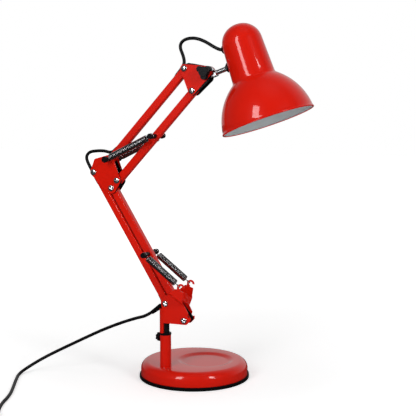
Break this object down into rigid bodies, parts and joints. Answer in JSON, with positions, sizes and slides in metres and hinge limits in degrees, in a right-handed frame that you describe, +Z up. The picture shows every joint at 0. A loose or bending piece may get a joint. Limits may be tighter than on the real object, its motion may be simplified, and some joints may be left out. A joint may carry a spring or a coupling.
{
  "type": "architect desk lamp",
  "caption": "Red architect desk lamp: weighted round base, swivel foot, spring-balanced parallel arms of square tube and a tilting bell shade, with its mains lead.",
  "frame": {"origin": "centre of the base's underside, on the table", "axes": "+Z up; the arms move in a plane parallel to XZ and the head points towards +X; -Y is the side of the clamp knob"},
  "size_m": [0.5057, 0.4741, 0.5704],
  "materials": {
    "red_paint": "gloss red paint on pressed steel",
    "cast_iron": "as cast",
    "rubber": "matt",
    "black_steel": "painted steel tube",
    "black_plastic": "moulded, satin",
    "chrome": "plated",
    "spring_steel": "drawn wire",
    "cord_black": "satin sheath",
    "bulb_glass": "opal",
    "bulb_cap": "rolled thread",
    "plug_pins": "nickel plated"
  },
  "bodies": {
    "base": {"base_cover": "red_paint", "base_weight": "cast_iron", "base_pad": "rubber", "base_ring": "rubber", "post": "red_paint", "post_nut": "black_steel", "collar_bush": "black_plastic"},
    "thumbscrew": {"thumbscrew_stud": "chrome", "thumbscrew_knob": "black_plastic"},
    "swivel": {"swivel_stem": "black_steel", "foot_bracket": "red_paint", "foot_liners": "black_plastic", "foot_screws": "chrome", "foot_nuts": "chrome", "strain_relief": "black_plastic", "mains_lead": "cord_black", "mains_coil": "cord_black", "plug_body": "black_plastic", "plug_pins": "plug_pins"},
    "lower_rear_bar": {"lower_rear_bar": "red_paint", "lead_in_lower_bar": "cord_black", "foot_lead": "cord_black"},
    "lower_front_bar": {"lower_front_bar": "red_paint", "lower_spring_pin": "chrome", "lower_spring_caps": "black_plastic", "lower_springs": "spring_steel"},
    "elbow": {"elbow_plate_near": "red_paint", "elbow_plate_far": "red_paint", "elbow_liners": "black_plastic", "elbow_screws": "chrome", "elbow_nuts": "chrome", "elbow_spring_pin": "chrome", "elbow_spring_caps": "black_plastic", "elbow_lead_lower": "cord_black", "elbow_lead_upper": "cord_black"},
    "upper_rear_bar": {"upper_rear_bar": "red_paint", "lead_in_upper_bar": "cord_black"},
    "upper_front_bar": {"upper_front_bar": "red_paint", "upper_spring_pin": "chrome", "upper_spring_caps": "black_plastic", "upper_springs": "spring_steel"},
    "top_bracket": {"top_plate_near": "red_paint", "top_plate_far": "red_paint", "top_liners": "black_plastic", "top_screws": "chrome", "top_nuts": "chrome", "clamp_bolt": "chrome", "head_lead_foot": "cord_black", "head_lead_loop": "cord_black"},
    "clamp_knob": {"clamp_knob": "black_plastic"},
    "clevis": {"head_clevis": "chrome"},
    "shade": {"shade": "red_paint", "head_rod": "chrome", "neck_nuts": "black_steel", "neck_washers": "black_steel", "lamp_holder": "black_plastic", "bulb_glass": "bulb_glass", "bulb_cap": "bulb_cap", "cord_gland": "black_plastic", "head_lead_end": "cord_black"}
  },
  "joints": [
    {"name": "swivel", "type": "hinge", "parent": "base", "child": "swivel", "pos_m": [-0.0265, -0.0565, 0.0805], "axis": [0, 0, 1], "range_deg": [-170, 170]},
    {"name": "thumbscrew_turn", "type": "hinge", "parent": "base", "child": "thumbscrew", "pos_m": [-0.0265, -0.0565, 0.0745], "axis": [-0.9063, 0.4226, 0], "continuous": true},
    {"name": "lower_arm", "type": "hinge", "parent": "swivel", "child": "lower_rear_bar", "pos_m": [-0.0224, -0.0565, 0.1326], "axis": [0, 1, 0], "range_deg": [-2.5, 45], "deforming": ["foot_lead"]},
    {"name": "lower_front_arm", "type": "hinge", "parent": "swivel", "child": "lower_front_bar", "pos_m": [0.0096, -0.0565, 0.1075], "axis": [0, 1, 0], "range_deg": [-2.5, 45], "deforming": ["lower_springs"]},
    {"name": "elbow_level", "type": "hinge", "parent": "lower_rear_bar", "child": "elbow", "pos_m": [-0.14937, -0.0565, 0.33979], "axis": [0, 1, 0], "range_deg": [-45, 2.5], "deforming": ["elbow_lead_lower"]},
    {"name": "upper_arm", "type": "hinge", "parent": "elbow", "child": "upper_rear_bar", "pos_m": [-0.12047, -0.0565, 0.36139], "axis": [0, 1, 0], "range_deg": [-30, 50], "deforming": ["elbow_lead_upper"]},
    {"name": "upper_front_arm", "type": "hinge", "parent": "elbow", "child": "upper_front_bar", "pos_m": [-0.10747, -0.0565, 0.32729], "axis": [0, 1, 0], "range_deg": [-30, 50], "deforming": ["upper_springs"]},
    {"name": "head_level", "type": "hinge", "parent": "upper_rear_bar", "child": "top_bracket", "pos_m": [0.01114, -0.0565, 0.50352], "axis": [0, 1, 0], "range_deg": [-50, 30], "deforming": ["head_lead_foot"]},
    {"name": "head_tilt", "type": "hinge", "parent": "top_bracket", "child": "clevis", "pos_m": [0.04714, -0.0565, 0.49791], "axis": [0, 1, 0], "range_deg": [-35, 40], "deforming": ["head_lead_loop"]},
    {"name": "clamp_knob_turn", "type": "hinge", "parent": "top_bracket", "child": "clamp_knob", "pos_m": [0.04714, -0.0715, 0.49791], "axis": [0, 1, 0], "continuous": true},
    {"name": "shade_turn", "type": "hinge", "parent": "clevis", "child": "shade", "pos_m": [0.05854, -0.0565, 0.49571], "axis": [0.9421, 0, 0.3355], "range_deg": [-45, 45], "deforming": ["head_lead_end"]}
  ],
  "couplings": [
    {"joint": "lower_front_arm", "follows": "lower_arm", "ratio": 1},
    {"joint": "elbow_level", "follows": "lower_arm", "ratio": -1},
    {"joint": "upper_front_arm", "follows": "upper_arm", "ratio": 1},
    {"joint": "head_level", "follows": "upper_arm", "ratio": -1}
  ]
}
